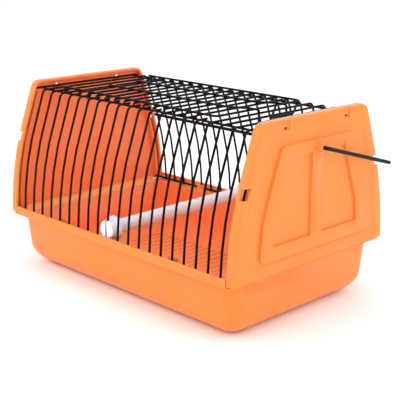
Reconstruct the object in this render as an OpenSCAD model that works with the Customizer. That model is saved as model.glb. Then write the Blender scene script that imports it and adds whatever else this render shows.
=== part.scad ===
// Bird travel carrier: a moulded tray, two moulded end panels, a cage of bent wires
// with a hinged roof door, a ribbed perch clipped across it and a wire handle.
// Millimetres. The origin lies under the middle of the tray, X runs along the
// carrier and Z points up. The wires cross each other tangent, as spot welds do.

/* [Carrier] */
// Length over the outer faces of the end panels
carrier_l = 220; // [200:1:280]
// Width of an end panel at its foot
base_w = 141; // [132:1:170]
// Width at the waist of an end panel, where its two side lines meet
waist_w = 136.4; // [128:0.1:160]
// Height at which the two side lines meet
waist_h = 74.9; // [65:0.1:85]
// Width of an end panel at its top, where its side and top lines meet
top_w = 97; // [88:1:110]
// Height of the top edge of the end panels
top_h = 129.5; // [120:0.5:150]

/* [Tray] */
// Height of the underside of the tray's lip
lip_h = 36.4; // [28:0.1:38]
// Thickness of the lip
lip_t = 1; // [0.8:0.1:2.4]
// Thickness of the basin's walls and floor
tray_wall = 1.8; // [1.2:0.1:2.6]
// How far the lip's ends stay inside the outer faces of the end panels
lip_end_in = 1.5; // [0.2:0.1:1.6]
// How far the lip stands out past the basin at the ends
lip_out_end = 3.1; // [2:0.1:6]
// How far the lip stands out past the basin at the sides
lip_out_side = 4.9; // [4.4:0.1:7]
// Draft of the basin's walls, in degrees
draft = 5; // [2:0.5:8]
// Radius of the basin's upright corners at the lip
basin_r = 10.5; // [9:0.5:20]
// Radius where the basin's walls run into its floor
floor_r = 15; // [8:0.5:20]
// Radius of the lip's corners
lip_r = 4; // [2:0.5:8]
// Height of the rim that stands on the lip along both sides
rim_h = 4.8; // [3:0.1:6]
// Thickness of the rim
rim_t = 1.6; // [1.2:0.1:2]
// Height of the sloped sills along the tray's ends, inside the panels
sill_rise = 3; // [2:0.1:4]
// Spacing of the low ribs across the floor
floor_rib_pitch = 6.5; // [3:0.5:8]
// Height of the low ribs across the floor
floor_rib_h = 0.5; // [0.3:0.1:1]
// Width of the tongues that stand behind the bottom rails
tongue_w = 8; // [5:0.5:12]
// Thickness of the tongues
tongue_t = 1; // [0.8:0.1:1.4]
// Distance of the tongues from the middle of the tray
tongue_x = 54; // [40:1:70]

/* [End panels] */
// Thickness of the panels and of their flanges
panel_wall = 1.8; // [1.4:0.1:2.4]
// Depth of the flange that turns in toward the cage
flange_d = 6; // [5:0.1:9]
// Radius of the panel's top corners
corner_r = 7; // [4:0.5:10]
// Radius of the bend at the panel's waist
waist_r = 190; // [120:5:220]
// Rounding of the edge between the panel's face and its flange
edge_r = 1.6; // [0.8:0.1:2.4]
// Width of the plain border around the panel's sunk field
border_w = 8; // [6:0.5:12]
// Depth of the sunk field
field_d = 0.4; // [0.2:0.1:0.6]
// Height of the raised window frame above the sunk field
frame_h = 1.8; // [1:0.1:3]
// Distance of the window frame's sides from the panel's side edges
frame_inset = 20.4; // [18:0.1:24]
// Height of the window frame's lower edge above the panel's foot
frame_rise = 9.9; // [9:0.1:16]
// Distance of the window frame's upper edge from the panel's top
frame_drop = 15; // [12:0.5:20]
// Width of the frame's side stiles
stile_w = 9; // [6:0.5:12]
// Height of the frame's lower bar
sill_h = 8.5; // [6:0.5:12]
// Width of the bar between the two panes
mullion_w = 10; // [6:0.5:14]
// Height of the frame's upper bar
head_h = 7; // [5:0.5:14]
// Distance of the two top catches from the middle of the panel
catch_y = 27.9; // [20:0.1:34]
// Height of the side catches
catch_z = 91.1; // [84:0.1:100]
// Width of a catch
catch_w = 7; // [5:0.5:9]

/* [Wires] */
// Diameter of the cage and door wires
wire_d = 1.5; // [1.2:0.1:1.8]
// Number of hoops between the two end hoops
hoops = 20; // [18:1:24]
// How far the centre line of the hoops lies below the top of the end panels
roof_drop = 5.7; // [4.8:0.1:8]
// Bend radius of the hoops at the roof corners
hoop_r = 3.6; // [3:0.1:6]
// Bend radius of the wires' small hooks
hook_r = 1.3; // [1.2:0.1:2]

/* [Roof door] */
// Which hoop, counted from the left, the door hinges on
hinge_hoop = 2; // [2:1:2]
// First hoop that is cut away under the door
first_cut = 4; // [4:1:4]
// How many hoops at the right run on past the door
right_hoops = 4; // [3:1:5]
// Distance of the front roof rail from the middle
rail_front_y = 38.9; // [34:0.1:42]
// Distance of the back roof rail from the middle
rail_back_y = 45; // [41:0.1:45.2]
// Number of wires across the door
door_bars = 13; // [10:1:16]
// Place of the front cross wire, measured from the middle
cross_front_y = -8; // [-14:0.5:-4]
// Place of the back cross wire, measured from the middle
cross_back_y = 17.5; // [10:0.5:22]
// How far the door's hooks reach down outside the last hoop
hook_drop = 8; // [6:0.5:10]
// How far the door's inner loop hangs down
loop_drop = 8.5; // [6:0.5:11]

/* [Perch] */
// Diameter of the perch
perch_d = 9.6; // [7:0.1:10.8]
// How much higher the perch is clipped than its lowest place
perch_lift = 0; // [0:0.1:16]
// Spacing of the perch's ring ridges
ridge_pitch = 2.2; // [1.5:0.1:3]
// Height of the ring ridges
ridge_h = 0.5; // [0.2:0.05:0.6]
// Diameter of the slotted body of the perch's clips
clip_d = 12; // [11:0.1:13]
// How far the clips stand out past the wire that they hold
clip_tip = 0.8; // [0.6:0.1:3]
// Diameter of the flange on the perch's clips
clip_flange_d = 15.6; // [14:0.1:16.4]

/* [Handle] */
// Diameter of the handle wire
handle_d = 2.4; // [2:0.1:3]
// Length of the handle's arms
arm_l = 69; // [66:0.5:74]
// Distance of the handle's pivots from the top of the end panels
pivot_drop = 19.9; // [17:0.1:24]
// Space between the folded handle and the end panels' edges
fold_gap = 1.8; // [0.2:0.1:4]
// How far the pivot bosses stand out from the panel
boss_h = 5.6; // [4.8:0.1:8]
// Diameter of the flat pad round the boss
pad_d = 12; // [11:0.5:15]
// Height of the pad above the sunk field
pad_h = 0.9; // [0.6:0.1:1.5]
// Diameter of the boss on its pad
boss_d = 9.5; // [8:0.5:11]
// Diameter of the boss at its tip
boss_tip_d = 6.5; // [5:0.5:8]
// How deep the handle's ends reach into the bosses
pin_l = 4.6; // [3:0.1:5]

/* [Clearances] */
// Space between parts that rest on each other
rest_gap = 0.2; // [0.1:0.05:0.3]
// Space between two wires that are welded together
weld_gap = 0.02; // [0.01:0.01:0.05]
// Space round the handle's end in its bore
bore_gap = 0.08; // [0.05:0.01:0.1]
// Space between the door's wires and what they swing past
swing_gap = 0.3; // [0.2:0.05:0.5]

/* [Hidden] */

plastic_colour = "#F99A55";
wire_colour = "#1B1B1D";
handle_colour = "#4A4D50";
perch_colour = "#E4E2EE";

// A cut goes this far past the surface that it opens
cut = 1;
// Layers and arc steps of the drawn roundings
arc_steps = 8;
thin = 0.02;
// A wire is a hair thinner in its bends, and each bend reaches into the runs beside it
bend_thin = 0.01;
bend_over = 0.05;

wire_r = wire_d / 2;
weld = wire_d + weld_gap;
half_l = carrier_l / 2;
foot_z = lip_h + lip_t + rest_gap;
half_base = base_w / 2;
rim_top = lip_h + lip_t + rim_h;
roof_z = top_h - roof_drop;
pivot_z = top_h - pivot_drop;
frame_z0 = foot_z + frame_rise;
frame_z1 = top_h - frame_drop;

// Hoops: the end hoops lie in the flanges and the others share the space between them
hoop_inset = panel_wall + rest_gap + wire_r;
end_hoop_x = half_l - panel_wall - rest_gap - wire_r;
hoop_pitch = 2 * end_hoop_x / (hoops + 1);
last_cut = hoops - right_hoops;
hoop_foot_z = foot_z + 2 * rest_gap;

// Bottom rails lie inside the hoops, just above the lip
rail_z = hoop_foot_z + wire_d;
rail_end = half_l - panel_wall - rest_gap;
roof_rail_z = roof_z - weld;

// Roof door: its bars lie level with the roof, its long wires on top of them
door_z = roof_z + rest_gap;
door_long_z = door_z + weld;
door_front_y = -rail_front_y + wire_r + swing_gap + wire_r + hook_r;
door_back_y = rail_back_y - wire_r - swing_gap - wire_r - hook_r;
door_end_gap = 4.9;
door_first_gap = 6;
door_last_gap = 16;
loop_lean = 4;
door_corner_r = 3;
door_hook_space = 2.6;

// Handle: it lies folded back against the flanges' rear edges
handle_r = handle_d / 2;
boss_tip_x = half_l + boss_h;
handle_bend_r = handle_d * 0.9;
arm_x = boss_tip_x + rest_gap + handle_bend_r;

// Radius r, or as much of it as the shorter side of corner b between a and c can take
function fitted(a, b, c, r) =
    let (
        u = unit(b - a),
        v = unit(c - b),
        half_turn = abs(atan2(cross_of(u, v), u * v)) / 2,
        room = 0.9 * min(norm(b - a), norm(c - b))
    )
    r * tan(half_turn) > room ? room / tan(half_turn) : r;

// Points on the arc of radius r that rounds corner b between a and c
function eased(a, b, c, r, n) =
    let (
        u = unit(b - a),
        v = unit(c - b),
        turn = atan2(cross_of(u, v), u * v),
        way = sign(turn) * left_of(u),
        start = b - u * r * tan(abs(turn) / 2),
        centre = start + way * r
    )
    [for (k = [0 : n - 1]) centre - r * turned(way, turn * (k + 0.5) / n)];

function hoop_x(i) = -end_hoop_x + i * hoop_pitch;
function unit(v) = v / norm(v);
function left_of(v) = [-v[1], v[0]];
function turned(v, a) = [v[0] * cos(a) - v[1] * sin(a), v[0] * sin(a) + v[1] * cos(a)];
function cross_of(a, b) = a[0] * b[1] - a[1] * b[0];

// Place of a point at height z on the line through a and b
function on_line(a, b, z) = a[0] + (b[0] - a[0]) * (z - a[1]) / (b[1] - a[1]);

// Corners of the panel outline in Y and Z, anticlockwise, with its foot at height z0
side_foot = [half_base, foot_z];
side_waist = [waist_w / 2, waist_h];
side_top = [top_w / 2, top_h];
function mirrored(p) = [-p[0], p[1]];
function corners_from(z0) =
    let (foot = [on_line(side_foot, side_waist, z0), z0])
    [
        mirrored(foot), foot, side_waist, side_top,
        mirrored(side_top), mirrored(side_waist)
    ];
side_r = fitted(side_foot, side_waist, side_top, waist_r);
panel_radii = [1, 1, side_r, corner_r, corner_r, side_r];

// Each corner moved inward, so that every side moves in by d
function inset_corners(p, d) = [
    for (i = [0 : len(p) - 1])
        let (
            a = left_of(unit(p[i] - p[(i + len(p) - 1) % len(p)])),
            b = left_of(unit(p[(i + 1) % len(p)] - p[i]))
        )
        p[i] + d * (a + b) / (1 + a * b)
];

// Outline with every corner rounded to its own radius
function rounded(p, radii, steps) = [
    for (i = [0 : len(p) - 1])
        let (
            u = unit(p[i] - p[(i + len(p) - 1) % len(p)]),
            v = unit(p[(i + 1) % len(p)] - p[i]),
            turn = atan2(cross_of(u, v), u * v),
            start = p[i] - u * radii[i] * tan(turn / 2),
            centre = start + left_of(u) * radii[i]
        )
        for (k = [0 : steps])
            centre - radii[i] * turned(left_of(u), turn * k / steps)
];

function panel_outline(d, z0 = foot_z) = rounded(
    inset_corners(corners_from(z0), d),
    [for (r = panel_radii) max(r - d, 0.4)],
    arc_steps
);

// Corner points of a hoop: foot, waist and roof corner at the front, then the back
hoop_lines = inset_corners(corners_from(foot_z), hoop_inset);
hoop_foot_y = on_line(hoop_lines[1], hoop_lines[2], hoop_foot_z);
hoop_waist = hoop_lines[2];
hoop_roof_y = on_line(hoop_lines[2], hoop_lines[3], roof_z);
function hoop_y(z) = on_line(hoop_lines[1], hoop_lines[2], z);
rail_y = hoop_y(rail_z) - weld;

// Where the handle's crossbar comes to rest against the side line of the panels
rest_line = inset_corners(corners_from(foot_z), -handle_r - fold_gap);
rest_dir = unit(rest_line[3] - rest_line[2]);
rest_from = rest_line[2] - [0, pivot_z];
rest_dot = rest_from * rest_dir;
rest_step = -rest_dot - sqrt(rest_dot * rest_dot - rest_from * rest_from + arm_l * arm_l);
rest_point = rest_from + rest_dir * rest_step;
fold_angle = -atan2(rest_point[1], rest_point[0]);

// Part drawn in Y and Z, standing up, with its thickness along X from x0 to x1
module slab(x0, x1) {
    translate([x0, 0, 0])
        rotate([90, 0, 90])
            linear_extrude(x1 - x0) children();
}

// Round bar between two points of the drawing plane
module bar(a, b, r) {
    translate([a[0], a[1], 0])
        rotate([0, 0, atan2(b[1] - a[1], b[0] - a[0])])
            rotate([0, 90, 0])
                cylinder(h = norm(b - a), r = r, $fn = 24);
}

// Round wire through the points, bent at each inner point to its own radius
module bent_wire(points, radii, r) {
    n = len(points);
    dirs = [for (i = [0 : n - 2]) unit(points[i + 1] - points[i])];
    turns = [
        for (i = [1 : n - 2])
            atan2(cross_of(dirs[i - 1], dirs[i]), dirs[i - 1] * dirs[i])
    ];
    trims = [
        for (i = [0 : n - 1])
            (i == 0 || i == n - 1) ? 0 : radii[i - 1] * tan(abs(turns[i - 1]) / 2)
    ];
    union() {
        for (i = [0 : n - 2])
            bar(points[i] + dirs[i] * trims[i], points[i + 1] - dirs[i] * trims[i + 1], r);
        for (i = [1 : n - 2]) {
            side = sign(turns[i - 1]);
            rad = radii[i - 1];
            centre = points[i] - dirs[i - 1] * trims[i] + side * left_of(dirs[i - 1]) * rad;
            first = atan2(-side * left_of(dirs[i - 1])[1], -side * left_of(dirs[i - 1])[0]);
            over = bend_over / rad * 180 / PI;
            translate([centre[0], centre[1], 0])
                rotate([0, 0, (side > 0 ? first : first + turns[i - 1]) - over])
                    rotate_extrude(
                        angle = abs(turns[i - 1]) + 2 * over,
                        $fn = rad > 20 ? 240 : 32
                    )
                        translate([rad, 0]) circle(r = r - bend_thin, $fn = 24);
        }
    }
}

// Wire along X at a height and depth
module wire_x(x0, x1, y, z, r = wire_r) {
    translate([x0, y, z])
        rotate([0, 90, 0]) cylinder(h = x1 - x0, r = r, $fn = 24);
}

// Wire drawn in Y and Z at one place along the carrier
module wire_yz(x, points, radii) {
    translate([x, 0, 0])
        rotate([90, 0, 90]) bent_wire(points, radii, wire_r);
}

// Side of a hoop from its foot up to the roof corner, side -1 front, 1 back
waist_bends = 3;
soft_bend_r = 20;
function hoop_side(side) =
    let (
        foot = [side * hoop_foot_y, hoop_foot_z],
        waist = [side * hoop_waist[0], hoop_waist[1]],
        roof = [side * hoop_roof_y, roof_z]
    )
    concat([foot], eased(foot, waist, roof, side_r - hoop_inset, waist_bends), [roof]);
side_radii = [for (k = [1 : waist_bends]) soft_bend_r];

function reversed(p) = [for (i = [len(p) - 1 : -1 : 0]) p[i]];

// One whole hoop, from its front foot over the roof to its back foot
module hoop(x) {
    wire_yz(
        x,
        concat(hoop_side(-1), reversed(hoop_side(1))),
        concat(side_radii, [hoop_r, hoop_r], side_radii)
    );
}

// One cut hoop: from its foot up and over onto the roof rail
module cut_hoop(x, side) {
    end_y = (side < 0 ? rail_front_y : rail_back_y) - wire_r;
    wire_yz(
        x,
        concat(hoop_side(side), [[side * end_y, roof_z]]),
        concat(side_radii, [min(hoop_r, (hoop_roof_y - end_y) / 0.8)])
    );
}

// Rounded rectangle of half sizes a and b, as one layer of the basin
module basin_layer(a, b, r, z) {
    translate([0, 0, z])
        linear_extrude(thin)
            polygon(rounded([[-a, -b], [a, -b], [a, b], [-a, b]], [r, r, r, r], arc_steps));
}

// Basin drawn in by d, with drafted walls that run round into the floor
module basin_body(d, z_top) {
    a = half_l - lip_end_in - lip_out_end - d;
    b = half_base - lip_out_side + rest_gap - d;
    f = floor_r - d;
    hull() {
        basin_layer(a, b, basin_r - d, z_top - thin);
        for (k = [0 : arc_steps]) {
            t = 90 * k / arc_steps;
            z = d + f * (1 - cos(t));
            s = (lip_h - z) * tan(draft) + f * (1 - sin(t));
            basin_layer(a - s, b - s, max(basin_r - d - s / 3, 4), z);
        }
    }
}

module tray() {
    lip_a = half_l - lip_end_in;
    lip_b = half_base + 2 * rest_gap;
    lip_top = lip_h + lip_t;
    rim_l = half_l - flange_d - rest_gap;
    ledge_y = half_base - lip_out_side + rest_gap - tray_wall;
    tongue_y = rail_y - wire_r - rest_gap;
    rib_half = ledge_y - floor_r - 4;
    sill_x = half_l - panel_wall - rest_gap;
    sill_w = 3.6;
    sill_y = ledge_y - 3;
    color(plastic_colour) {
        difference() {
            union() {
                basin_body(0, lip_h + lip_t / 2);
                translate([0, 0, lip_h])
                    linear_extrude(lip_t)
                        polygon(rounded(
                            [[-lip_a, -lip_b], [lip_a, -lip_b], [lip_a, lip_b], [-lip_a, lip_b]],
                            [lip_r, lip_r, lip_r, lip_r], arc_steps
                        ));
            }
            basin_body(tray_wall, lip_top + cut);
        }
        // Rims along both sides
        for (side = [-1, 1])
            translate([-rim_l, side > 0 ? lip_b - rim_t : -lip_b, lip_top - lip_t / 2])
                cube([2 * rim_l, rim_t, rim_h + lip_t / 2]);
        // Sloped sills along both ends, just inside the end panels
        for (end = [0, 1])
            mirror([end, 0, 0])
                translate([0, sill_y, 0])
                    rotate([90, 0, 0])
                        linear_extrude(2 * sill_y)
                            polygon([
                                [sill_x - sill_w, lip_top - lip_t / 2],
                                [sill_x, lip_top - lip_t / 2],
                                [sill_x, lip_top + sill_rise],
                                [sill_x - rim_t / 2, lip_top + sill_rise],
                                [sill_x - sill_w, lip_top + 0.4]
                            ]);
        // Tongues behind the bottom rails
        for (side = [-1, 1], end = [-1, 1])
            translate([
                end * tongue_x - tongue_w / 2,
                side > 0 ? tongue_y - tongue_t : -tongue_y,
                lip_h
            ])
                cube([tongue_w, tongue_t, lip_t + rim_h]);
        // Low ribs across the floor
        rib_count = floor((lip_a - lip_out_end - floor_r - 10) / floor_rib_pitch);
        for (i = [-rib_count : rib_count])
            translate([
                i * floor_rib_pitch - floor_rib_pitch / 4,
                -rib_half,
                tray_wall - thin
            ])
                cube([floor_rib_pitch / 2, 2 * rib_half, floor_rib_h + thin]);
    }
}

// Field between two heights whose sides keep the distance d from the panel's edges
function field(d, z0, z1) =
    let (
        lines = inset_corners(corners_from(foot_z), d),
        low = on_line(lines[1], lines[2], z0),
        high = on_line(lines[2], lines[3], z1)
    )
    [[-low, z0], [low, z0], lines[2], [high, z1], [-high, z1], mirrored(lines[2])];

// One of the two panes, side -1 or 1, as a corner list
function pane(side) =
    let (
        edge = field(frame_inset + stile_w, frame_z0 + sill_h, frame_z1 - head_h),
        inn = mullion_w / 2
    )
    side > 0
        ? [edge[2], edge[3], [inn, edge[3][1]], [inn, edge[1][1]], edge[1]]
        : [edge[5], edge[0], [-inn, edge[0][1]], [-inn, edge[4][1]], edge[4]];

module window_frame() {
    bend = 60;
    difference() {
        polygon(rounded(
            field(frame_inset, frame_z0, frame_z1), [4, 4, bend, 4, 4, bend], arc_steps
        ));
        for (side = [-1, 1])
            polygon(rounded(pane(side), [bend, 1.5, 1.5, 1.5, 1.5], 4));
    }
}

// Rib just inside the end hoop along one side, between the rails below and above it
rib_inset = hoop_inset + wire_r + 3 * rest_gap;
rib_t = 1.4;
rib_steps = 6;
rib_low_z = rail_z + wire_r + 2 * rest_gap;
rib_high_z = roof_rail_z - wire_r - 2 * rest_gap;
function rib_edge(d) =
    let (
        lines = inset_corners(corners_from(foot_z), d),
        foot = [on_line(lines[1], lines[2], rib_low_z), rib_low_z],
        top = [on_line(lines[2], lines[3], rib_high_z), rib_high_z]
    )
    concat([foot], eased(foot, lines[2], top, side_r - d, rib_steps), [top]);
function side_rib(side) = [
    for (p = concat(rib_edge(rib_inset), reversed(rib_edge(rib_inset + rib_t))))
        [side * p[0], p[1]]
];

// The right-hand end panel, with its flange toward the cage
module end_panel() {
    inner_x = half_l - panel_wall;
    field_x = half_l - field_d;
    hold_top = roof_z - wire_r - rest_gap;
    hold_h = 2.4;
    hold_x = half_l - flange_d + 1.6;
    step_w = 5.6;
    slit_w = 2.2;
    slit_h = 1.9;
    notch_d = 3.6;
    notch_in = panel_wall + 2.2;
    difference() {
        union() {
            difference() {
                // Shell with its edge rounded in three steps
                hull() {
                    slab(half_l - flange_d, half_l - edge_r) polygon(panel_outline(0));
                    for (t = [30, 60, 90]) {
                        x = half_l - edge_r * (1 - sin(t));
                        slab(x - thin, x) polygon(panel_outline(edge_r * (1 - cos(t))));
                    }
                }
                // Hollow behind the plate, open at the foot
                slab(half_l - flange_d - cut, inner_x)
                    polygon(panel_outline(panel_wall, foot_z - 5 * panel_wall));
                // Sunk field inside the plain border
                slab(field_x, half_l + cut) polygon(panel_outline(border_w));
            }
            slab(field_x - thin, field_x + frame_h) window_frame();
            // Pad and boss of the handle's pivot
            translate([field_x - thin, 0, pivot_z])
                rotate([0, 90, 0]) {
                    cylinder(h = pad_h + thin, d = pad_d, $fn = 64);
                    cylinder(h = boss_h + field_d + thin, d1 = boss_d, d2 = boss_tip_d, $fn = 64);
                }
            // Ribs that hold the end hoop against both side flanges
            for (side = [-1, 1])
                slab(half_l - flange_d + 1, inner_x + thin) polygon(side_rib(side));
            // Catches that hold the end hoop up against the top flange
            for (side = [-1, 1])
                translate([hold_x, side * catch_y - catch_w / 2, hold_top - hold_h])
                    cube([inner_x - hold_x + 3 * thin, catch_w, hold_h]);
        }
        // Bore of the handle's pivot
        translate([half_l - panel_wall - cut, 0, pivot_z])
            rotate([0, 90, 0])
                cylinder(h = boss_h + panel_wall + 2 * cut, r = handle_r + bore_gap, $fn = 48);
        // Windows of the top catches, in a shallow step that runs out at the top edge
        for (side = [-1, 1]) {
            translate([half_l - 2 * field_d, side * catch_y - step_w / 2, roof_z - wire_r])
                cube([cut + field_d * 2, step_w, top_h]);
            translate([inner_x - cut, side * catch_y - slit_w / 2, roof_z + wire_r / 2])
                cube([panel_wall + 2 * cut, slit_w, slit_h]);
        }
        // Windows of the side catches, open at the panel's edge
        slab(half_l - notch_d, half_l + cut)
            difference() {
                translate([-base_w, catch_z - catch_w / 2]) square([2 * base_w, catch_w]);
                polygon(panel_outline(notch_in));
            }
    }
}

module end_panel_right() { color(plastic_colour) end_panel(); }
module end_panel_left() { color(plastic_colour) mirror([1, 0, 0]) end_panel(); }
module end_hoop_right() { color(wire_colour) hoop(end_hoop_x); }
module end_hoop_left() { color(wire_colour) hoop(-end_hoop_x); }

module hoops_left() {
    color(wire_colour)
        for (i = [1 : first_cut - 1]) hoop(hoop_x(i));
}

module hoops_right() {
    color(wire_colour)
        for (i = [last_cut + 1 : hoops]) hoop(hoop_x(i));
}

module bars_front() {
    color(wire_colour)
        for (i = [first_cut : last_cut]) cut_hoop(hoop_x(i), -1);
}

module bars_back() {
    color(wire_colour)
        for (i = [first_cut : last_cut]) cut_hoop(hoop_x(i), 1);
}

module rail_bottom_front() { color(wire_colour) wire_x(-rail_end, rail_end, -rail_y, rail_z); }
module rail_bottom_back() { color(wire_colour) wire_x(-rail_end, rail_end, rail_y, rail_z); }

module rail_top_front() {
    color(wire_colour) wire_x(-rail_end, rail_end, -rail_front_y, roof_rail_z);
}

module rail_top_back() {
    color(wire_colour) wire_x(-rail_end, rail_end, rail_back_y, roof_rail_z);
}

door_end_x = hoop_x(last_cut + 1) - door_end_gap;
hinge_x = hoop_x(hinge_hoop);
hinge_ring = door_long_z - roof_z;

// Frame of the door: one wire bent round three sides, looped round the hinge hoop
module door_frame() {
    color(wire_colour) {
        translate([0, 0, door_long_z])
            bent_wire(
                [
                    [hinge_x - bend_over, door_front_y], [door_end_x, door_front_y],
                    [door_end_x, door_back_y], [hinge_x - bend_over, door_back_y]
                ],
                [door_corner_r, door_corner_r], wire_r
            );
        for (y = [door_front_y, door_back_y])
            translate([hinge_x, y, roof_z])
                rotate([90, -150, 0])
                    rotate_extrude(angle = 240, $fn = 48)
                        translate([hinge_ring, 0]) circle(r = wire_r - bend_thin, $fn = 24);
    }
}

// Wires across the door, their ends turned down inside the roof rails
module door_bars_grid() {
    first_x = hoop_x(first_cut - 1) + door_first_gap;
    last_x = door_end_x - door_last_gap;
    step = (last_x - first_x) / (door_bars - 1);
    color(wire_colour)
        for (i = [0 : door_bars - 1])
            wire_yz(
                first_x + i * step,
                [
                    [door_front_y - hook_r, door_z - 2.6], [door_front_y - hook_r, door_z],
                    [door_back_y + hook_r, door_z], [door_back_y + hook_r, door_z - 2.6]
                ],
                [hook_r, hook_r]
            );
}

// Two long cross wires that rise over the end wire and hook down past the next hoop
module door_cross_wires() {
    start_x = hoop_x(first_cut - 1) + door_first_gap - 2;
    hook_x = hoop_x(last_cut + 1) + wire_d + door_hook_space;
    over_z = door_long_z + weld;
    color(wire_colour)
        for (y = [cross_front_y, cross_back_y])
            translate([0, y, 0])
                rotate([90, 0, 0])
                    bent_wire(
                        [
                            [start_x, door_long_z], [door_end_x - door_last_gap, door_long_z],
                            [door_end_x, over_z], [hook_x, over_z], [hook_x, over_z - hook_drop]
                        ],
                        [20, 20, hook_r], wire_r
                    );
}

// Loop that hangs from the end wire inside the cage and keeps the door in line
module door_inner_loop() {
    lean = atan2(loop_lean, loop_drop);
    top_z = door_long_z - wire_r - weld_gap - wire_r * sin(lean);
    color(wire_colour)
        translate([door_end_x, 0, top_z])
            rotate([0, lean, 0])
                rotate([90, 0, 90])
                    bent_wire(
                        [
                            [cross_back_y, 0], [cross_back_y, -loop_drop],
                            [door_back_y - 3, -loop_drop], [door_back_y - 3, 0]
                        ],
                        [hook_r, hook_r], wire_r
                    );
}

// The perch sits just above the bottom rails, or above the rims where its clips reach them
perch_low_z = rail_z + wire_r + clip_d / 2 + 2 * rest_gap;
clip_reach_y = hoop_y(perch_low_z) + wire_r + clip_tip + rest_gap;
rim_in_y = half_base + 2 * rest_gap - rim_t;
perch_z = perch_lift
    + (clip_reach_y < rim_in_y ? perch_low_z : rim_top + clip_d / 2 + rest_gap);
perch_x = hoop_x(hoops / 2);
clip_wire_y = hoop_y(perch_z);
clip_root_y = clip_wire_y - 9;

module perch_rod() {
    ridges = floor(2 * clip_root_y / ridge_pitch);
    length = 2 * clip_root_y;
    step = length / ridges;
    color(perch_colour)
        translate([perch_x, -clip_root_y, perch_z])
            rotate([-90, 0, 0])
                rotate_extrude($fn = 40)
                    polygon(concat(
                        [[0, 0]],
                        [
                            for (i = [0 : ridges - 1])
                                each [
                                    [perch_d / 2 - ridge_h, i * step],
                                    [perch_d / 2, (i + 0.5) * step]
                                ]
                        ],
                        [[perch_d / 2 - ridge_h, length], [0, length]]
                    ));
}

// Clip on the end of the perch, slotted to push onto a hoop
module perch_clip() {
    slot_y = clip_wire_y - wire_r - rest_gap - 0.4;
    tip_y = clip_wire_y + wire_r + clip_tip;
    tip_round = 0.6;
    body_r = clip_d / 2;
    color(perch_colour)
        translate([perch_x, 0, perch_z])
            difference() {
                rotate([90, 0, 180])
                    rotate_extrude($fn = 48)
                        polygon([
                            [0, clip_root_y], [perch_d / 2 + 0.4, clip_root_y],
                            [clip_flange_d / 2, clip_root_y + 2.5],
                            [clip_flange_d / 2, clip_root_y + 4.5],
                            [body_r, clip_root_y + 5.2], [body_r, tip_y - tip_round],
                            [body_r - tip_round, tip_y], [0, tip_y]
                        ]);
                translate([-wire_r - rest_gap / 2, slot_y, -clip_flange_d])
                    cube([wire_d + rest_gap, 10, 2 * clip_flange_d]);
            }
}

module perch_clip_back() { perch_clip(); }
module perch_clip_front() { mirror([0, 1, 0]) perch_clip(); }

module handle() {
    pin_x = boss_tip_x - pin_l;
    color(handle_colour)
        translate([0, 0, pivot_z])
            rotate([-fold_angle, 0, 0])
                bent_wire(
                    [
                        [pin_x, 0], [arm_x, 0], [arm_x, arm_l],
                        [-arm_x, arm_l], [-arm_x, 0], [-pin_x, 0]
                    ],
                    [handle_bend_r, 2 * handle_bend_r, 2 * handle_bend_r, handle_bend_r],
                    handle_r
                );
}

tray();
end_panel_left();
end_panel_right();
end_hoop_left();
end_hoop_right();
hoops_left();
hoops_right();
bars_front();
bars_back();
rail_bottom_front();
rail_bottom_back();
rail_top_front();
rail_top_back();
door_frame();
door_bars_grid();
door_cross_wires();
door_inner_loop();
perch_rod();
perch_clip_front();
perch_clip_back();
handle();
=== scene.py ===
import math

import bmesh
import bpy
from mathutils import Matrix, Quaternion, Vector


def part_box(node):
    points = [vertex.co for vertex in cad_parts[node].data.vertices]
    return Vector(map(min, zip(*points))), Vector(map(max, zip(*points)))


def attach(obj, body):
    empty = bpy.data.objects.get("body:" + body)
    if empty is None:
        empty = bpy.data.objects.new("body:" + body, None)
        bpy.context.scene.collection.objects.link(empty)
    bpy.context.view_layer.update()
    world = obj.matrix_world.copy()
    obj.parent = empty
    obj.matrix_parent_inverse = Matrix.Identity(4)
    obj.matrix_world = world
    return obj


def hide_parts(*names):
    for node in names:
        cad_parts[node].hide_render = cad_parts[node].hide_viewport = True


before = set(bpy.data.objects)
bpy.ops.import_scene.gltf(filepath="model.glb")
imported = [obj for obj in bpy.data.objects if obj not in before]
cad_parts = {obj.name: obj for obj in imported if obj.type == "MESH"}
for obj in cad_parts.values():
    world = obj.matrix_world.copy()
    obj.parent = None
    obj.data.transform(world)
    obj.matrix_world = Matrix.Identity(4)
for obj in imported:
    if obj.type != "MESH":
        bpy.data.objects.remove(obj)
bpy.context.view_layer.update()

bl_info = {
    "name": "Bird travel carrier",
    "version": (1, 0, 0),
    "blender": (4, 5, 0),
    "location": "View3D > Sidebar > Carrier",
    "description": "Dresses the wire and plastic of a small bird carrier and sets its studio",
    "category": "Object",
}

MM = 0.001
DEG = math.pi / 180

PANEL_NODES = ("end_panel_left", "end_panel_right")
WIRE_NODES = (
    "end_hoop_left", "end_hoop_right", "hoops_left", "hoops_right",
    "bars_front", "bars_back", "rail_bottom_front", "rail_bottom_back",
    "rail_top_front", "rail_top_back", "door_frame", "door_bars_grid",
    "door_cross_wires", "door_inner_loop",
)
CLIP_NODES = ("perch_clip_front", "perch_clip_back")

# Places on the end panels that their finishing works from
HALF_LENGTH = 110 * MM
FIELD_X = HALF_LENGTH - 0.4 * MM
FIELD_MIDDLE_Z = 83 * MM
FIELD_HALF_W = 55 * MM
FIELD_HALF_H = 38 * MM
FRAME_X = FIELD_X + 1.8 * MM
FRAME_LOW = 47.5 * MM
FRAME_HIGH = 114.5 * MM
PANE_TOP = 107.5 * MM
PANE_HALF_W = 31 * MM
PIVOT_Z = 109.6 * MM
CATCH_Y = 27.9 * MM
SLIT_W = 2.2 * MM
SLIT_LOW = 124.18 * MM

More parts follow.
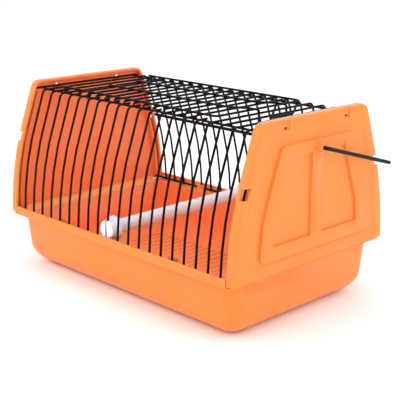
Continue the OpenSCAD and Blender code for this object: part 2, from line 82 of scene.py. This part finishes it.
# How far the panels' details are moved
FIELD_SLOPE = 1.2 * MM
PANE_LEAN_UP = 2.2 * MM
PANE_LEAN_DOWN = 1.6 * MM
SLIT_DROP = 0.6 * MM

# How far from its place each detail of a panel is looked for
PANE_LEAN_REACH = 3.5 * MM
SLIT_REACH = 2 * MM
FRAME_REACH = 2 * MM
BOSS_REACH = 6.4 * MM

# Edges further than this from a panel's end face lie on the inner end of its flange
FLANGE_END_DEPTH = 5.6 * MM

# Places on the tray
RIM_TOP = 42.2 * MM
LIP_LOW = 36.4 * MM
LIP_EDGE_H = 1.1 * MM
LIP_END_REACH = 3 * MM
LIP_SIDE_Y = 69 * MM
FLOOR_TOP = 1.8 * MM
FLOOR_RIB_TOP = 2.3 * MM
FLOOR_RIB_PITCH = 6.5 * MM

# The share of its width that a floor rib's top keeps, and how far it sinks
FLOOR_RIB_TAPER = 0.12
FLOOR_RIB_SINK = 0.18 * MM

# How near a corner has to lie to a place to count as on it
TIGHT = 0.02 * MM
CLOSE = 0.05 * MM
LOOSE = 0.1 * MM

# Corners this near are merged, faces this flat are joined, and slivers this short are dropped
MERGE_GAP = 0.002 * MM
FLAT_ANGLE = 0.3 * DEG
SLIVER = 0.004 * MM

# Edges sharper than this can be rounded, to these radii
CORNER_ANGLE = 40 * DEG
FRAME_RADIUS = 0.7 * MM
BOSS_RADIUS = 0.3 * MM
FLANGE_RADIUS = 0.4 * MM
RIM_RADIUS = 0.44 * MM
LIP_RADIUS = 0.3 * MM

# Where the painted light on the plastic and the painted shade in the perch's grooves change
CABIN_MIDDLE_Z = 70 * MM
# Height and half-height of the band of painted highlight on the tray's rim
RIM_HIGHLIGHT_Z = LIP_LOW + 1.5 * MM
RIM_HIGHLIGHT_HALF_H = 1.6 * MM
GROOVE_DEEP = 0.5 * MM
GROOVE_SHALLOW = 0.28 * MM

# The studio's floor, from its middle to its edge, and the point that the lights face
FLOOR_HALF = 12.0
LIGHT_AIM = Vector((0, 0, 0.06))

# Roughness of the dipped coats
WIRE_ROUGHNESS = 0.24
HANDLE_ROUGHNESS = 0.35

# Edges sharper than this stay sharp when a node is shaded smooth
SMOOTH_ANGLE = 32 * DEG


def linear(code):
    """The linear RGBA value of an sRGB hex code."""
    parts = [int(code[i:i + 2], 16) / 255 for i in (1, 3, 5)]
    return tuple(c / 12.92 if c <= 0.04045 else ((c + 0.055) / 1.055) ** 2.4 for c in parts) + (1,)


def add_node(tree, kind, settings=None, links=None):
    """Adds one shader node, sets its properties or sockets, and links its inputs."""
    node = tree.nodes.new(kind)
    for key, value in (settings or {}).items():
        if isinstance(key, str) and hasattr(node, key):
            setattr(node, key, value)
        else:
            node.inputs[key].default_value = value
    for key, source in (links or {}).items():
        tree.links.new(source, node.inputs[key])
    return node


def new_material(name):
    """An empty node material with its output, and object coordinates in metres."""
    mat = bpy.data.materials.new(name)
    mat.use_nodes = True
    tree = mat.node_tree
    tree.nodes.clear()
    out = add_node(tree, "ShaderNodeOutputMaterial")
    place = add_node(tree, "ShaderNodeTexCoord").outputs["Object"]
    return mat, tree, out, place


def ramp(tree, fac, low, high, start, end):
    """A two-colour ramp over a grey value."""
    node = add_node(tree, "ShaderNodeValToRGB", links={"Fac": fac})
    node.color_ramp.elements[0].position = start
    node.color_ramp.elements[0].color = low
    node.color_ramp.elements[1].position = end
    node.color_ramp.elements[1].color = high
    return node.outputs["Color"]


def moulded_polypropylene(colours):
    """Injection-moulded polypropylene, dyed orange through and through.

    It has a soft gloss from the polished mould, lets a little light into its skin, and shows a
    faint mottle and long shallow ripples where the melt flowed. The faces that look inwards are
    painted pinker than the outer ones, as painted light for the daylight that comes through the
    walls, and a painted highlight makes the tray's rim paler where it looks inwards."""
    mat, tree, out, place = new_material("moulded_orange_polypropylene")
    flow = add_node(
        tree, "ShaderNodeTexNoise",
        {"Scale": 1 / (28 * MM), "Detail": 3.0, "Roughness": 0.5}, {"Vector": place},
    ).outputs["Fac"]
    mottle = add_node(
        tree, "ShaderNodeTexNoise",
        {"Scale": 1 / (2.2 * MM), "Detail": 2.0, "Roughness": 0.6}, {"Vector": place},
    ).outputs["Fac"]
    outer = ramp(tree, flow, linear(colours.plastic_deep), linear(colours.plastic), 0.25, 0.75)
    from_middle = add_node(
        tree, "ShaderNodeVectorMath",
        {"operation": "SUBTRACT", 1: (0, 0, CABIN_MIDDLE_Z)}, {0: place},
    ).outputs["Vector"]
    way_out = add_node(
        tree, "ShaderNodeVectorMath", {"operation": "NORMALIZE"}, {0: from_middle},
    ).outputs["Vector"]
    facing = add_node(tree, "ShaderNodeTexCoord").outputs["Normal"]
    outward = add_node(
        tree, "ShaderNodeVectorMath", {"operation": "DOT_PRODUCT"}, {0: way_out, 1: facing},
    ).outputs["Value"]
    inward = add_node(
        tree, "ShaderNodeMapRange", {"From Min": 0.0, "From Max": -0.3}, {"Value": outward},
    ).outputs["Result"]
    # Painted highlight: the tray's rim is painted paler where it looks inwards, for the light it
    # catches from above
    height = add_node(tree, "ShaderNodeSeparateXYZ", links={0: place}).outputs["Z"]
    rim = add_node(
        tree, "ShaderNodeMath",
        {"operation": "COMPARE", 1: RIM_HIGHLIGHT_Z, 2: RIM_HIGHLIGHT_HALF_H}, {0: height},
    ).outputs["Value"]
    # Painted light: the faces that look inwards are painted a pinker orange for the daylight
    # coming through the thin walls
    inner = add_node(
        tree, "ShaderNodeMix",
        {
            "data_type": "RGBA", "A": linear(colours.plastic_inside_painted_light),
            "B": linear(colours.plastic_rim_painted_highlight),
        },
        {"Factor": rim},
    ).outputs["Result"]
    tint = add_node(
        tree, "ShaderNodeMix", {"data_type": "RGBA"}, {"Factor": inward, "A": outer, "B": inner},
    ).outputs["Result"]
    # The thin walls pass more light to the inside than the outer skin takes in
    depth = add_node(
        tree, "ShaderNodeMapRange", {"To Min": 0.3, "To Max": 0.85}, {"Value": inward},
    ).outputs["Result"]
    sheen_spread = add_node(
        tree, "ShaderNodeMapRange",
        {"To Min": 0.2, "To Max": 0.28}, {"Value": mottle},
    ).outputs["Result"]
    # Spark-eroded mould grain of about 0.5 mm, drawn coarser than real so that it shows
    grain = add_node(
        tree, "ShaderNodeTexNoise",
        {"Scale": 1 / (0.5 * MM), "Detail": 2.0}, {"Vector": place},
    ).outputs["Fac"]
    fine = add_node(
        tree, "ShaderNodeBump", {"Strength": 0.06, "Distance": 0.05 * MM}, {"Height": grain},
    ).outputs["Normal"]
    ripple = add_node(
        tree, "ShaderNodeBump", {"Strength": 0.25, "Distance": 0.12 * MM},
        {"Height": flow, "Normal": fine},
    ).outputs["Normal"]
    skin = add_node(
        tree, "ShaderNodeBsdfPrincipled",
        {
            "IOR": 1.49, "Specular IOR Level": 0.2,
            "Subsurface Scale": 1.8 * MM,
            "Subsurface Radius": (1.0, 0.3, 0.2),
        },
        {
            "Base Color": tint, "Roughness": sheen_spread, "Subsurface Weight": depth,
            "Normal": ripple,
        },
    )
    tree.links.new(skin.outputs["BSDF"], out.inputs["Surface"])
    return mat


def dipped_steel_wire(name, code, worn_code, roughness):
    """Drawn steel wire with a dipped, baked coat.

    The coat is near black and glossy, a little uneven along the wire, with a faint orange peel."""
    mat, tree, out, place = new_material(name)
    patches = add_node(
        tree, "ShaderNodeTexNoise",
        {"Scale": 1 / (6 * MM), "Detail": 3.0, "Roughness": 0.6}, {"Vector": place},
    ).outputs["Fac"]
    coat = ramp(tree, patches, linear(code), linear(worn_code), 0.45, 0.85)
    gloss = add_node(
        tree, "ShaderNodeMapRange",
        {"To Min": roughness - 0.06, "To Max": roughness + 0.1}, {"Value": patches},
    ).outputs["Result"]
    # Orange peel of about 0.7 mm across
    peel = add_node(
        tree, "ShaderNodeTexNoise", {"Scale": 1 / (0.7 * MM), "Detail": 1.0}, {"Vector": place},
    ).outputs["Fac"]
    skin_bump = add_node(
        tree, "ShaderNodeBump", {"Strength": 0.15, "Distance": 0.05 * MM}, {"Height": peel},
    ).outputs["Normal"]
    skin = add_node(
        tree, "ShaderNodeBsdfPrincipled",
        {"IOR": 1.4, "Specular IOR Level": 0.14},
        {"Base Color": coat, "Roughness": gloss, "Normal": skin_bump},
    )
    tree.links.new(skin.outputs["BSDF"], out.inputs["Surface"])
    return mat


def paint_rod_groove_shade(tree, place, milk, groove):
    """Paints shade and orange reflection into the grooves between the perch rod's ridges, found by
    their distance from its axis.
    """
    low, high = (Vector(corner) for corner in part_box("perch_rod"))
    from_axis = add_node(
        tree, "ShaderNodeVectorMath",
        {"operation": "SUBTRACT", 1: (low + high) / 2}, {0: place},
    ).outputs["Vector"]
    across = add_node(
        tree, "ShaderNodeVectorMath", {"operation": "MULTIPLY", 1: (1, 0, 1)}, {0: from_axis},
    ).outputs["Vector"]
    radius = add_node(
        tree, "ShaderNodeVectorMath", {"operation": "LENGTH"}, {0: across},
    ).outputs["Value"]
    rod_radius = (high.x - low.x) / 2
    ridge = add_node(
        tree, "ShaderNodeMapRange",
        {"From Min": rod_radius - GROOVE_DEEP, "From Max": rod_radius - GROOVE_SHALLOW},
        {"Value": radius},
    ).outputs["Result"]
    # Painted shade and painted orange reflection in the grooves, full ridge colour on the ridges
    return add_node(
        tree, "ShaderNodeMix", {"data_type": "RGBA", "A": groove}, {"Factor": ridge, "B": milk},
    ).outputs["Result"]


def natural_polypropylene(colours, name, grooved):
    """Undyed polypropylene, milky and a little see-through, with a waxy gloss.

    Where it is grooved, the grooves are painted darker and orange-tinted: painted shade, with a
    painted reflection of the orange around them."""
    mat, tree, out, place = new_material(name)
    haze = add_node(
        tree, "ShaderNodeTexNoise",
        {"Scale": 1 / (5 * MM), "Detail": 2.0}, {"Vector": place},
    ).outputs["Fac"]
    milk = ramp(tree, haze, linear(colours.perch_deep), linear(colours.perch), 0.3, 0.7)
    tint = paint_rod_groove_shade(tree, place, milk, linear(colours.perch_groove_painted_shade)) if grooved else milk
    waxy = add_node(
        tree, "ShaderNodeMapRange", {"To Min": 0.3, "To Max": 0.42}, {"Value": haze},
    ).outputs["Result"]
    skin = add_node(
        tree, "ShaderNodeBsdfPrincipled",
        {
            "IOR": 1.49, "Subsurface Weight": 0.2, "Subsurface Scale": 0.5 * MM,
            "Subsurface Radius": (1.0, 0.9, 0.9),
        },
        {"Base Color": tint, "Roughness": waxy},
    )
    tree.links.new(skin.outputs["BSDF"], out.inputs["Surface"])
    return mat


def matt_paper(colours):
    """Seamless studio paper, pale and quite matt, with the faintest unevenness."""
    mat, tree, out, place = new_material("seamless_paper")
    cloud = add_node(
        tree, "ShaderNodeTexNoise", {"Scale": 3.0, "Detail": 2.0}, {"Vector": place},
    ).outputs["Fac"]
    tint = ramp(tree, cloud, linear(colours.paper_deep), linear(colours.paper), 0.2, 0.8)
    skin = add_node(
        tree, "ShaderNodeBsdfPrincipled", {"Roughness": 0.9}, {"Base Color": tint},
    )
    tree.links.new(skin.outputs["BSDF"], out.inputs["Surface"])
    return mat


def dress(node_name, material):
    """Gives a carried-over node its material and smooth shading between its sharp edges."""
    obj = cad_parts[node_name]
    obj.data.materials.clear()
    obj.data.materials.append(material)
    obj.data.shade_smooth()
    obj.data.set_sharp_from_angle(angle=SMOOTH_ANGLE)


def merged_copy(node_name):
    """A bmesh of a node's shape with its flat faces joined, ready for its edges to be rounded."""
    bm = bmesh.new()
    bm.from_mesh(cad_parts[node_name].data)
    bmesh.ops.remove_doubles(bm, verts=bm.verts, dist=MERGE_GAP)
    bmesh.ops.dissolve_limit(
        bm, angle_limit=FLAT_ANGLE, use_dissolve_boundaries=False,
        verts=bm.verts, edges=bm.edges, delimit=set(),
    )
    return bm


def round_edges(bm, radius, segments, picks):
    """Rounds the sharp edges that the test picks, given each edge's two ends."""
    sharp = [
        edge for edge in bm.edges
        if len(edge.link_faces) == 2
        and edge.calc_face_angle() > CORNER_ANGLE
        and picks(edge.verts[0].co, edge.verts[1].co)
    ]
    bmesh.ops.bevel(
        bm, geom=sharp, offset=radius, offset_type="OFFSET", affect="EDGES",
        segments=segments, profile=0.5, material=-1, clamp_overlap=True,
    )
    bmesh.ops.dissolve_degenerate(bm, dist=SLIVER, edges=bm.edges)


def finish_piece(bm, name, material, body, nodes):
    """Makes the bmesh an object in its body's place and lets it stand for the nodes."""
    mesh = bpy.data.meshes.new(name)
    bm.to_mesh(mesh)
    bm.free()
    mesh.materials.append(material)
    mesh.shade_smooth()
    mesh.set_sharp_from_angle(angle=SMOOTH_ANGLE)
    obj = bpy.data.objects.new(name, mesh)
    bpy.context.scene.collection.objects.link(obj)
    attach(obj, body)
    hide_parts(*nodes)
    return obj


def slope_pane_tops(bm):
    """Leans the upper wall of each sunk pane back, so that it runs out into the frame."""
    for vert in bm.verts:
        x, z = abs(vert.co.x), vert.co.z
        share = (z - (PANE_TOP - PANE_LEAN_REACH)) / PANE_LEAN_REACH
        if 0 < share < 1.001 and x > FIELD_X - LOOSE and abs(vert.co.y) < PANE_HALF_W:
            if x > FRAME_X - LOOSE:
                vert.co.z += share * PANE_LEAN_UP
            else:
                vert.co.z -= share * PANE_LEAN_DOWN


def lower_slits(bm):
    """Lowers the slits in the top edge, so that the end hoop shows in them."""
    for vert in bm.verts:
        if (
            abs(abs(vert.co.y) - CATCH_Y) < SLIT_W / 2 + CLOSE
            and SLIT_LOW - CLOSE < vert.co.z < SLIT_LOW + SLIT_REACH
        ):
            vert.co.z -= SLIT_DROP


def ease_field(bm):
    """Spreads the small step round a panel's sunk field into a gentle slope."""
    low = {
        end
        for edge in bm.edges
        for end, other in (tuple(edge.verts), tuple(edge.verts)[::-1])
        if abs(abs(end.co.x) - FIELD_X) < TIGHT
        and abs(abs(other.co.x) - HALF_LENGTH) < TIGHT
    }
    for vert in low:
        vert.co.y *= 1 - FIELD_SLOPE / FIELD_HALF_W
        vert.co.z -= (vert.co.z - FIELD_MIDDLE_Z) * FIELD_SLOPE / FIELD_HALF_H


def soften_panel(bm):
    """Rounds a panel's edges on its window frame, its boss and the inner end of its flange."""
    def on_frame(a, b):
        return min(abs(a.x), abs(b.x)) > FIELD_X - CLOSE and all(
            FRAME_LOW - FRAME_REACH < p.z < FRAME_HIGH + FRAME_REACH
            and abs(abs(p.x) - HALF_LENGTH) > LOOSE
            and math.hypot(p.y, p.z - PIVOT_Z) > BOSS_REACH
            for p in (a, b)
        )

    def on_flange(a, b):
        return max(abs(a.x), abs(b.x)) < HALF_LENGTH - FLANGE_END_DEPTH

    def on_boss(a, b):
        return all(
            abs(p.x) > FIELD_X - CLOSE
            and math.hypot(p.y, p.z - PIVOT_Z) < BOSS_REACH
            for p in (a, b)
        )

    round_edges(bm, FRAME_RADIUS, 3, on_frame)
    round_edges(bm, BOSS_RADIUS, 2, on_boss)
    round_edges(bm, FLANGE_RADIUS, 3, on_flange)


def soften_tray(bm):
    """Rounds the edges of the tray's lip and rims, and draws its floor ribs in to soft ridges."""
    for vert in bm.verts:
        if abs(vert.co.z - FLOOR_RIB_TOP) < TIGHT:
            middle = round(vert.co.x / FLOOR_RIB_PITCH) * FLOOR_RIB_PITCH
            vert.co.x = middle + (vert.co.x - middle) * FLOOR_RIB_TAPER
            vert.co.z -= FLOOR_RIB_SINK

    def on_rim_top(a, b):
        return min(a.z, b.z) > RIM_TOP - CLOSE

    def on_lip(a, b):
        return all(
            LIP_LOW - CLOSE < p.z < LIP_LOW + LIP_EDGE_H
            and (abs(p.x) > HALF_LENGTH - LIP_END_REACH or abs(p.y) > LIP_SIDE_Y)
            for p in (a, b)
        )

    round_edges(bm, RIM_RADIUS, 3, on_rim_top)
    round_edges(bm, LIP_RADIUS, 2, on_lip)


def keep_floor_flat(mesh):
    """Keeps the shading of the tray's flat floor apart from that of its low ribs."""
    for edge in mesh.edges:
        ends = [mesh.vertices[i].co.z for i in edge.vertices]
        if all(abs(z - FLOOR_TOP) < TIGHT for z in ends):
            edge.use_edge_sharp = True


class CarrierColours(bpy.types.PropertyGroup):
    """Colours of the carrier's finishes, and of the light and shade painted onto them, as sRGB hex
    codes
    """

    plastic: bpy.props.StringProperty(
        name="Plastic", description="Orange of the moulded parts", default="#EF8B42",
    )
    plastic_deep: bpy.props.StringProperty(
        name="Plastic, deeper", description="Orange where the melt lies thicker",
        default="#ED853C",
    )
    wire: bpy.props.StringProperty(
        name="Wire", description="Coat of the cage wires", default="#040405",
    )
    wire_worn: bpy.props.StringProperty(
        name="Wire, thin coat", description="Coat where it lies thinner", default="#0B0B0C",
    )
    handle: bpy.props.StringProperty(
        name="Handle", description="Coat of the handle wire", default="#14181A",
    )
    handle_worn: bpy.props.StringProperty(
        name="Handle, thin coat", description="Handle coat where it lies thinner",
        default="#202628",
    )
    # Painted light: a pinker orange on the inward faces, for the daylight that comes through the
    # walls
    plastic_inside_painted_light: bpy.props.StringProperty(
        name="Plastic, inner faces", description="Pinker orange of the faces that look inwards",
        default="#FF9159",
    )
    # Painted highlight: a paler orange on the tray's rim, for the light it catches from above
    plastic_rim_painted_highlight: bpy.props.StringProperty(
        name="Plastic, rim", description="Orange of the tray's rim where it looks inwards",
        default="#FFAA60",
    )
    perch: bpy.props.StringProperty(
        name="Perch", description="Milky white of the perch", default="#EEF0F8",
    )
    perch_deep: bpy.props.StringProperty(
        name="Perch, deeper", description="Perch where it is thicker", default="#E2E5F0",
    )
    # Painted shade: the perch's grooves are painted darker and orange-tinted, for their shade and
    # the orange they reflect
    perch_groove_painted_shade: bpy.props.StringProperty(
        name="Perch, grooves", description="Perch between its ridges", default="#E4C0B3",
    )
    paper: bpy.props.StringProperty(
        name="Paper", description="Studio paper", default="#FFFFFF",
    )
    paper_deep: bpy.props.StringProperty(
        name="Paper, deeper", description="Studio paper's slight unevenness", default="#FBFBFB",
    )


class CarrierStudio(bpy.types.PropertyGroup):
    """Camera and light"""

    camera_place: bpy.props.FloatVectorProperty(
        name="Camera place", description="Where the camera stands", size=3,
        subtype="TRANSLATION", unit="LENGTH", default=(0.4603, -0.4388, 0.2361),
    )
    camera_way: bpy.props.FloatVectorProperty(
        name="Camera direction", description="Which way the camera looks", size=3,
        subtype="DIRECTION", default=(-0.6877, 0.6718, -0.2753),
    )
    camera_roll: bpy.props.FloatProperty(
        name="Camera roll", description="Turn about the line of sight",
        subtype="ANGLE", default=-0.09 * DEG,
    )
    lens: bpy.props.FloatProperty(
        name="Lens", description="Focal length on a 36 mm sensor", default=86.98, unit="CAMERA",
    )
    key_power: bpy.props.FloatProperty(
        name="Key light", description="Power of the large soft light at the front left",
        default=3.7,
    )
    fill_power: bpy.props.FloatProperty(
        name="Fill light", description="Power of the soft light at the right", default=2.35,
    )
    top_power: bpy.props.FloatProperty(
        name="Top light", description="Power of the soft light overhead", default=2.8,
    )
    sky: bpy.props.FloatProperty(
        name="Sky", description="Strength of the even light all round", default=1.05,
    )


class CARRIER_OT_camera(bpy.types.Operator):
    """Set the camera at the photograph's viewing angle"""

    bl_idname = "carrier.camera"
    bl_label = "Camera"

    def execute(self, context):
        studio = context.scene.carrier_studio
        data = bpy.data.cameras.new("camera")
        data.sensor_width = 36.0
        data.lens = studio.lens
        data.clip_start = 0.01
        data.clip_end = 20
        camera = bpy.data.objects.new("camera", data)
        context.scene.collection.objects.link(camera)
        way = Vector(studio.camera_way).normalized()
        camera.rotation_mode = "QUATERNION"
        camera.location = studio.camera_place
        aim = way.to_track_quat("-Z", "Y")
        camera.rotation_quaternion = Quaternion(way, studio.camera_roll) @ aim
        context.scene.camera = camera
        return {"FINISHED"}


class CARRIER_OT_stage(bpy.types.Operator):
    """Lay the pale floor and hang the soft lights"""

    bl_idname = "carrier.stage"
    bl_label = "Floor and lights"

    def execute(self, context):
        scene = context.scene
        studio = scene.carrier_studio
        bm = bmesh.new()
        bmesh.ops.create_grid(bm, x_segments=1, y_segments=1, size=FLOOR_HALF)
        mesh = bpy.data.meshes.new("floor")
        bm.to_mesh(mesh)
        bm.free()
        floor = bpy.data.objects.new("floor", mesh)
        scene.collection.objects.link(floor)
        mesh.materials.append(matt_paper(scene.carrier_colours))
        scene.view_settings.view_transform = "Standard"
        world = bpy.data.worlds.new("studio")
        world.use_nodes = True
        world.node_tree.nodes["Background"].inputs["Color"].default_value = (1, 1, 1, 1)
        world.node_tree.nodes["Background"].inputs["Strength"].default_value = studio.sky
        scene.world = world
        # Name, place and size in metres, and power
        lights = (
            ("key_light", (-0.25, -0.95, 0.75), 0.9, studio.key_power),
            ("fill_light", (0.95, 0.15, 0.6), 0.8, studio.fill_power),
            ("top_light", (0.0, 0.1, 1.2), 1.0, studio.top_power),
        )
        for name, place, size, power in lights:
            data = bpy.data.lights.new(name, "AREA")
            data.shape = "SQUARE"
            data.size = size
            data.energy = power
            light = bpy.data.objects.new(name, data)
            scene.collection.objects.link(light)
            light.location = place
            light.rotation_mode = "QUATERNION"
            way = LIGHT_AIM - Vector(place)
            light.rotation_quaternion = way.to_track_quat("-Z", "Y")
        return {"FINISHED"}


class CARRIER_OT_plastic(bpy.types.Operator):
    """Mould the tray and the end panels with soft edges"""

    bl_idname = "carrier.plastic"
    bl_label = "Tray and end panels"

    def execute(self, context):
        plastic = moulded_polypropylene(context.scene.carrier_colours)
        for name in PANEL_NODES:
            bm = merged_copy(name)
            slope_pane_tops(bm)
            lower_slits(bm)
            ease_field(bm)
            soften_panel(bm)
            finish_piece(bm, name + "_moulding", plastic, "cage", [name])
        bm = merged_copy("tray")
        soften_tray(bm)
        tray = finish_piece(bm, "tray_moulding", plastic, "tray", ["tray"])
        keep_floor_flat(tray.data)
        return {"FINISHED"}


class CARRIER_OT_wires(bpy.types.Operator):
    """Finish the cage wires and the roof door"""

    bl_idname = "carrier.wires"
    bl_label = "Cage and door wires"

    def execute(self, context):
        colours = context.scene.carrier_colours
        coat = dipped_steel_wire(
            "black_dipped_wire", colours.wire, colours.wire_worn, WIRE_ROUGHNESS,
        )
        for name in WIRE_NODES:
            dress(name, coat)
        return {"FINISHED"}


class CARRIER_OT_handle(bpy.types.Operator):
    """Finish the wire handle"""

    bl_idname = "carrier.handle"
    bl_label = "Handle"

    def execute(self, context):
        colours = context.scene.carrier_colours
        coat = dipped_steel_wire(
            "grey_dipped_wire", colours.handle, colours.handle_worn, HANDLE_ROUGHNESS,
        )
        dress("handle", coat)
        return {"FINISHED"}


class CARRIER_OT_perch(bpy.types.Operator):
    """Finish the perch and its clips"""

    bl_idname = "carrier.perch"
    bl_label = "Perch"

    def execute(self, context):
        colours = context.scene.carrier_colours
        milky = natural_polypropylene(colours, "milky_polypropylene", False)
        for name in CLIP_NODES:
            dress(name, milky)
        grooved = natural_polypropylene(colours, "grooved_milky_polypropylene", True)
        dress("perch_rod", grooved)
        return {"FINISHED"}


class CARRIER_PT_panel(bpy.types.Panel):
    """Buttons for each part of the carrier's dressing"""

    bl_idname = "CARRIER_PT_panel"
    bl_label = "Bird travel carrier"
    bl_space_type = "VIEW_3D"
    bl_region_type = "UI"
    bl_category = "Carrier"

    def draw(self, context):
        for group in (context.scene.carrier_colours, context.scene.carrier_studio):
            box = self.layout.box()
            for key in group.bl_rna.properties.keys():
                if key not in ("rna_type", "name"):
                    box.prop(group, key)
        for step in STEPS:
            self.layout.operator(step.bl_idname)


STEPS = (
    CARRIER_OT_camera,
    CARRIER_OT_stage,
    CARRIER_OT_plastic,
    CARRIER_OT_wires,
    CARRIER_OT_handle,
    CARRIER_OT_perch,
)
CLASSES = (CarrierColours, CarrierStudio) + STEPS + (CARRIER_PT_panel,)


def register():
    for cls in CLASSES:
        bpy.utils.register_class(cls)
    bpy.types.Scene.carrier_colours = bpy.props.PointerProperty(type=CarrierColours)
    bpy.types.Scene.carrier_studio = bpy.props.PointerProperty(type=CarrierStudio)


def unregister():
    del bpy.types.Scene.carrier_studio
    del bpy.types.Scene.carrier_colours
    for cls in reversed(CLASSES):
        bpy.utils.unregister_class(cls)


def main():
    register()
    bpy.ops.carrier.camera()
    bpy.ops.carrier.stage()
    bpy.ops.carrier.plastic()
    bpy.ops.carrier.wires()
    bpy.ops.carrier.handle()
    bpy.ops.carrier.perch()


if __name__ == "__main__":
    main()
